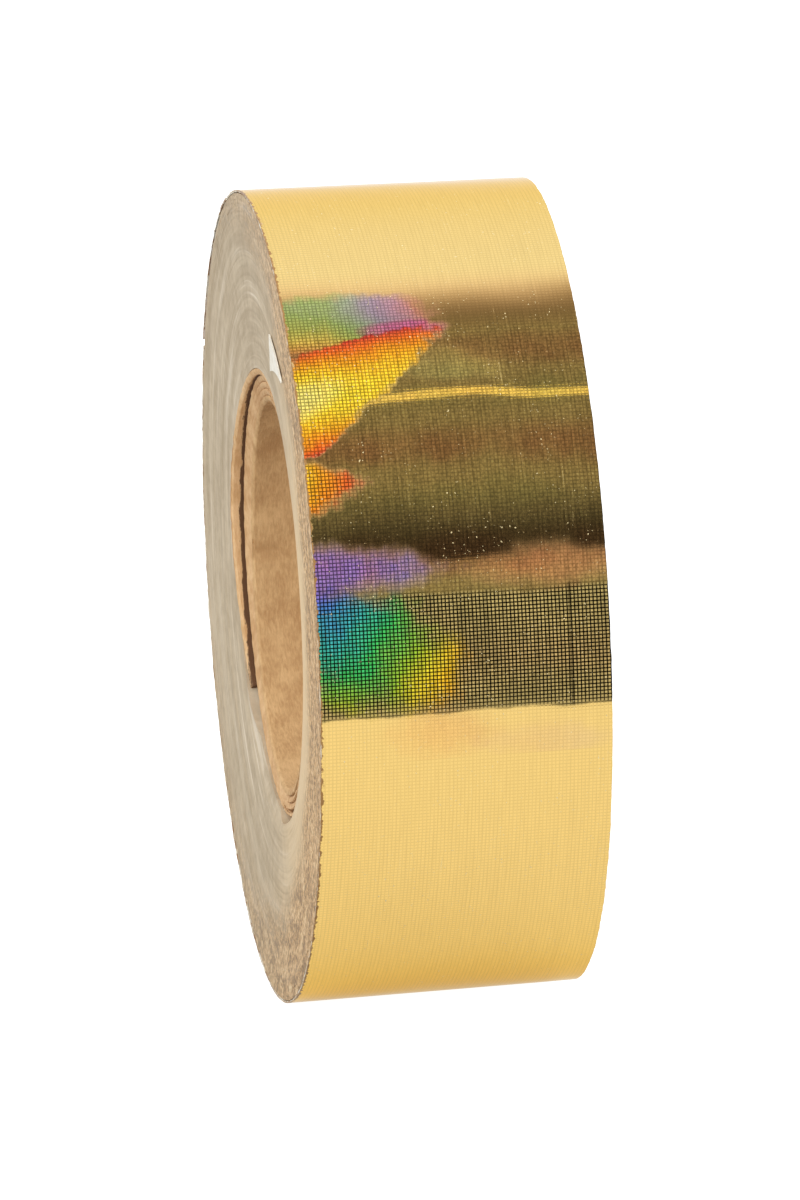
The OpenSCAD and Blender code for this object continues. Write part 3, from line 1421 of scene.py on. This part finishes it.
@dataclass
class Studio:
    """Pale floor, soft light and the camera.

    Attributes:
        floor_z: Height of the floor.
        floor_r: Its radius.
        azimuth: Where the camera stands, in degrees round from the dished end.
        elevation: How high it looks down from, in degrees.
        distance: How far off it is.
        lens: Its focal length, in millimetres.
        aim_y: Place along the axis that it looks at.
        right: How far right of the middle of the frame that place lies.
        up: How far above the middle of the frame it lies.
        lamp_at: Direction of the lamp.
        tent: How bright the white tent behind the panels is.
        cool: Colour of its light.
        warm: Colour of the warmest panel.
        panels: The panels, each over the ones before it.
    """

    floor_z: float
    floor_r: float = 0.178
    azimuth: float = 81.2
    elevation: float = 24.6
    distance: float = 1.2
    lens: float = 549.0
    aim_y: float = -1.1 * MM
    right: float = 0.26 * MM
    up: float = 0.82 * MM
    lamp_at: tuple[float, float, float] = (0.7, -0.7, 0.75)
    tent: float = 1.07
    cool: Colour = (1.0, 1.04, 1.14)
    warm: Colour = (1.0, 0.78, 0.20)
    panels: tuple[Panel, ...] = (
        Panel(Stretch(-30.0, 113.0, 0.8, 18.0), 0.05, 0.3),
        Panel(Stretch(21.8, 31.6, 0.8, 0.8), 0.35, 0.4),
        Panel(Stretch(46.0, 110.0, 18.0, 18.0), 0.30, 0.45),
        Panel(Stretch(79.0, 81.6, 0.5, 0.3), 1.25, 0.8),
    )

    def mirrored(self, weave: Weave, angle: Socket) -> Socket:
        """Gives what the film mirrors: a white tent behind the panels."""
        glow: Number = self.tent
        warmth: Number = 0.0
        for panel in self.panels:
            inside = weave.within(angle, panel.span)
            glow = weave.between(inside, glow, panel.glow)
            warmth = weave.between(inside, warmth, panel.warmth)
        tinge = weave.mix(warmth, self.cool, self.warm)
        return weave.mix(1.0, weave.grey(glow), tinge, "MULTIPLY")

    def world(self) -> None:
        """Makes the light of the studio: a soft dome, with panels that the film mirrors."""
        world = bpy.data.worlds.new("studio")
        bpy.context.scene.world = world
        world.use_nodes = True
        weave = Weave(world.node_tree)
        back = world.node_tree.nodes["Background"]
        split = weave.node("SeparateXYZ")
        weave.feed(split.inputs[0], weave.node("TexCoord").outputs["Generated"])
        x, y, z = split.outputs
        angle = weave.times(weave.math("ARCTAN2", z, x), 180 / math.pi)
        dome = weave.grey(weave.line(z, 0.55, 0.76))
        ray = weave.node("LightPath").outputs
        glow = weave.mix(ray["Is Diffuse Ray"], self.mirrored(weave, angle), dome)
        weave.feed(back.inputs["Color"], weave.mix(ray["Is Camera Ray"], glow, WHITE))
        back.inputs["Strength"].default_value = 1.0

    def floor(self) -> bpy.types.Object:
        """Lays the pale floor under the roll."""
        mesh = bmesh.new()
        bmesh.ops.create_circle(mesh, cap_ends=True, segments=96, radius=self.floor_r)
        bmesh.ops.translate(mesh, vec=(0, 0, self.floor_z), verts=mesh.verts)
        data = bpy.data.meshes.new("floor")
        mesh.to_mesh(data)
        mesh.free()
        floor = bpy.data.objects.new("floor", data)
        bpy.context.scene.collection.objects.link(floor)
        material, weave, shader = new_material("pale_floor")
        shader.inputs["Base Color"].default_value = (0.35, 0.35, 0.35, 1.0)
        shader.inputs["Roughness"].default_value = 0.9
        ray = weave.node("LightPath").outputs
        weave.feed(shader.inputs["Emission Color"],
                   weave.mix(ray["Is Camera Ray"], (1.0, 0.95, 0.80), WHITE))
        strength = weave.between(ray["Is Glossy Ray"], 0.0, 0.58)
        weave.feed(shader.inputs["Emission Strength"],
                   weave.between(ray["Is Camera Ray"], strength, 0.96))
        data.materials.append(material)
        floor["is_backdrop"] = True
        return floor

    def key_light(self) -> None:
        """Hangs a soft lamp high up in front of the dished end."""
        lamp = bpy.data.lights.new("key", "AREA")
        lamp.shape = "DISK"
        lamp.size = 0.25
        lamp.energy = 0.9
        holder = bpy.data.objects.new("key", lamp)
        bpy.context.scene.collection.objects.link(holder)
        towards = Vector(self.lamp_at).normalized()
        holder.location = towards * 0.5
        holder.rotation_euler = towards.to_track_quat("Z", "Y").to_euler()

    def camera(self) -> None:
        """Sets the camera up."""
        turn, rise = math.radians(self.azimuth), math.radians(self.elevation)
        back = Vector((math.sin(turn) * math.cos(rise), -math.cos(turn) * math.cos(rise),
                       math.sin(rise)))
        look = (-back).to_track_quat("-Z", "Y")
        aim = Vector((0, self.aim_y, 0)) - look @ Vector((self.right, self.up, 0))
        data = bpy.data.cameras.new("camera")
        data.lens = self.lens
        data.sensor_width = 36.0
        data.clip_start = 0.01
        data.clip_end = 20.0
        camera = bpy.data.objects.new("camera", data)
        bpy.context.scene.collection.objects.link(camera)
        camera.rotation_mode = "QUATERNION"
        camera.rotation_quaternion = look
        camera.location = aim + back * self.distance
        bpy.context.scene.camera = camera

    def build(self) -> None:
        """Builds the studio."""
        self.world()
        self.floor()
        self.key_light()
        self.camera()
        bpy.context.scene.view_settings.view_transform = "Standard"


def main() -> None:
    """Builds every piece in order."""
    logging.basicConfig(level=logging.INFO, format="%(name)s: %(message)s")
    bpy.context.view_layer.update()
    sizes = RollSizes.from_frame()
    Studio(floor_z=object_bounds()[0].z).build()
    film = GoldFilm().make(sizes)
    glue = PlainPaper("clear_adhesive", srgb(214, 200, 160), srgb(196, 178, 132),
                      roughness=0.25).make(sizes)
    liner = PlainPaper("liner_paper", srgb(246, 242, 230), srgb(232, 226, 210)).make(sizes)
    Core(sizes).build()
    WoundTurns(sizes, film).build()
    StripEnd(sizes, film, glue, liner).build()
    Leader(sizes, liner).build()


if __name__ == "__main__":
    main()
